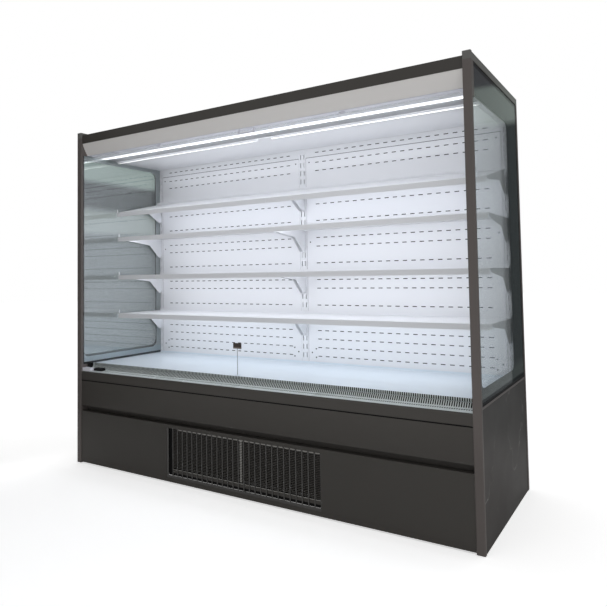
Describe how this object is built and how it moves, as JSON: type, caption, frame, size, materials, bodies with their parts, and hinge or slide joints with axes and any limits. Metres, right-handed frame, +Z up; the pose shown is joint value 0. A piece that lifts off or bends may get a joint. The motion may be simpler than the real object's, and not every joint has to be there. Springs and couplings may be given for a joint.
{
  "type": "open multideck display fridge",
  "caption": "Tall open-fronted refrigerated display cabinet with glazed ends, tilting shelves, perforated back, night blind, fans and a condensing unit behind a louvred base.",
  "frame": {"origin": "on the floor, under the middle of the cabinet", "axes": "+X along the front to the right as a shopper sees it, +Y to the back, +Z up"},
  "size_m": [2.5, 0.85, 2.05],
  "materials": {
    "dark_metal": "satin powder coat",
    "white_metal": "smooth white powder coat",
    "foam_panel": "pre-painted insulated panel",
    "galvanised": "galvanised sheet",
    "zinc": "zinc plated",
    "stone_board": "dark stone-pattern laminate",
    "clear_glass": "double glazing with printed border",
    "black_rubber": "matt seal",
    "beige_sheet": "warm grey powder coat",
    "white_plastic": "white moulding",
    "lamp_lens": "opal diffuser",
    "aluminium_coil": "bare fins",
    "black_plastic": "black moulding",
    "blind_cloth": "woven aluminised night blind",
    "black_enamel": "black enamel",
    "ticket": "brown printed card holder, blank"
  },
  "bodies": {
    "root": {"base_frame": "galvanised", "levelling_feet": "zinc", "insulated_tank": "foam_panel", "insulated_back": "foam_panel", "insulated_roof": "foam_panel", "front_post_left": "dark_metal", "front_post_right": "dark_metal", "side_base_left": "stone_board", "side_base_right": "stone_board", "end_glass_left": "clear_glass", "end_glass_right": "clear_glass", "glass_seals": "black_rubber", "end_trims": "dark_metal", "lower_panel": "dark_metal", "louvre_grille": "black_plastic", "upper_apron": "dark_metal", "bumper_rail": "dark_metal", "deck_panels": "white_metal", "air_return_grille": "white_plastic", "shelf_uprights": "white_metal", "back_panel_left": "white_metal", "back_panel_right": "white_metal", "back_top_strips": "white_metal", "ceiling_panel": "white_metal", "header_fascia": "dark_metal", "canopy_deflector": "beige_sheet", "lamp_housing": "white_metal", "lamp_diffuser": "lamp_lens", "air_outlet": "white_plastic", "lamp_tubes": "lamp_lens", "blind_cassette": "white_metal", "blind_fabric": "blind_cloth", "fan_plate": "galvanised", "evaporator_coil": "aluminium_coil", "condenser_coil": "aluminium_coil", "condenser_shroud": "galvanised", "compressor": "black_enamel", "condensate_tray": "black_plastic", "control_box": "galvanised", "rear_cover": "galvanised", "cable_gland": "black_plastic", "ticket_holder": "ticket"},
    "blind_bar": {"blind_pull_bar": "white_plastic"},
    "blind_tube": {"blind_roller": "galvanised"},
    "condenser_rotor": {"condenser_fan": "black_plastic"},
    "evaporator_rotor_1": {"evaporator_fan_1": "black_plastic"},
    "evaporator_rotor_2": {"evaporator_fan_2": "black_plastic"},
    "evaporator_rotor_3": {"evaporator_fan_3": "black_plastic"},
    "shelf_1": {"shelf_1_boards": "white_metal", "shelf_1_brackets": "white_metal", "shelf_1_lights": "lamp_lens"},
    "shelf_2": {"shelf_2_boards": "white_metal", "shelf_2_brackets": "white_metal", "shelf_2_lights": "lamp_lens"},
    "shelf_3": {"shelf_3_boards": "white_metal", "shelf_3_brackets": "white_metal", "shelf_3_lights": "lamp_lens"},
    "shelf_4": {"shelf_4_boards": "white_metal", "shelf_4_brackets": "white_metal", "shelf_4_lights": "lamp_lens"}
  },
  "joints": [
    {"name": "blind_pull", "type": "slide", "parent": "root", "child": "blind_bar", "axis": [0, 0, -1], "range_m": [0, 1.26], "deforming": ["blind_fabric"]},
    {"name": "blind_roller_turn", "type": "hinge", "parent": "root", "child": "blind_tube", "pos_m": [0, -0.345, 1.951], "axis": [1, 0, 0], "range_deg": [0, 4248]},
    {"name": "condenser_fan_spin", "type": "hinge", "parent": "root", "child": "condenser_rotor", "pos_m": [0, -0.235, 0.195], "axis": [0, 1, 0], "continuous": true},
    {"name": "evaporator_fan_1_spin", "type": "hinge", "parent": "root", "child": "evaporator_rotor_1", "pos_m": [-0.74, -0.15, 0.502], "axis": [0, 1, 0], "continuous": true},
    {"name": "evaporator_fan_2_spin", "type": "hinge", "parent": "root", "child": "evaporator_rotor_2", "pos_m": [0, -0.15, 0.502], "axis": [0, 1, 0], "continuous": true},
    {"name": "evaporator_fan_3_spin", "type": "hinge", "parent": "root", "child": "evaporator_rotor_3", "pos_m": [0.74, -0.15, 0.502], "axis": [0, 1, 0], "continuous": true},
    {"name": "shelf_1_tilt", "type": "hinge", "parent": "root", "child": "shelf_1", "pos_m": [0, 0.259, 1.5544], "axis": [1, 0, 0], "range_deg": [-13, 0]},
    {"name": "shelf_2_tilt", "type": "hinge", "parent": "root", "child": "shelf_2", "pos_m": [0, 0.259, 1.3014], "axis": [1, 0, 0], "range_deg": [0, 13]},
    {"name": "shelf_3_tilt", "type": "hinge", "parent": "root", "child": "shelf_3", "pos_m": [0, 0.259, 1.0484], "axis": [1, 0, 0], "range_deg": [0, 13]},
    {"name": "shelf_4_tilt", "type": "hinge", "parent": "root", "child": "shelf_4", "pos_m": [0, 0.259, 0.7954], "axis": [1, 0, 0], "range_deg": [0, 13]}
  ],
  "couplings": [
    {"joint": "blind_roller_turn", "follows": "blind_pull", "rad_per_m": 58.824}
  ]
}
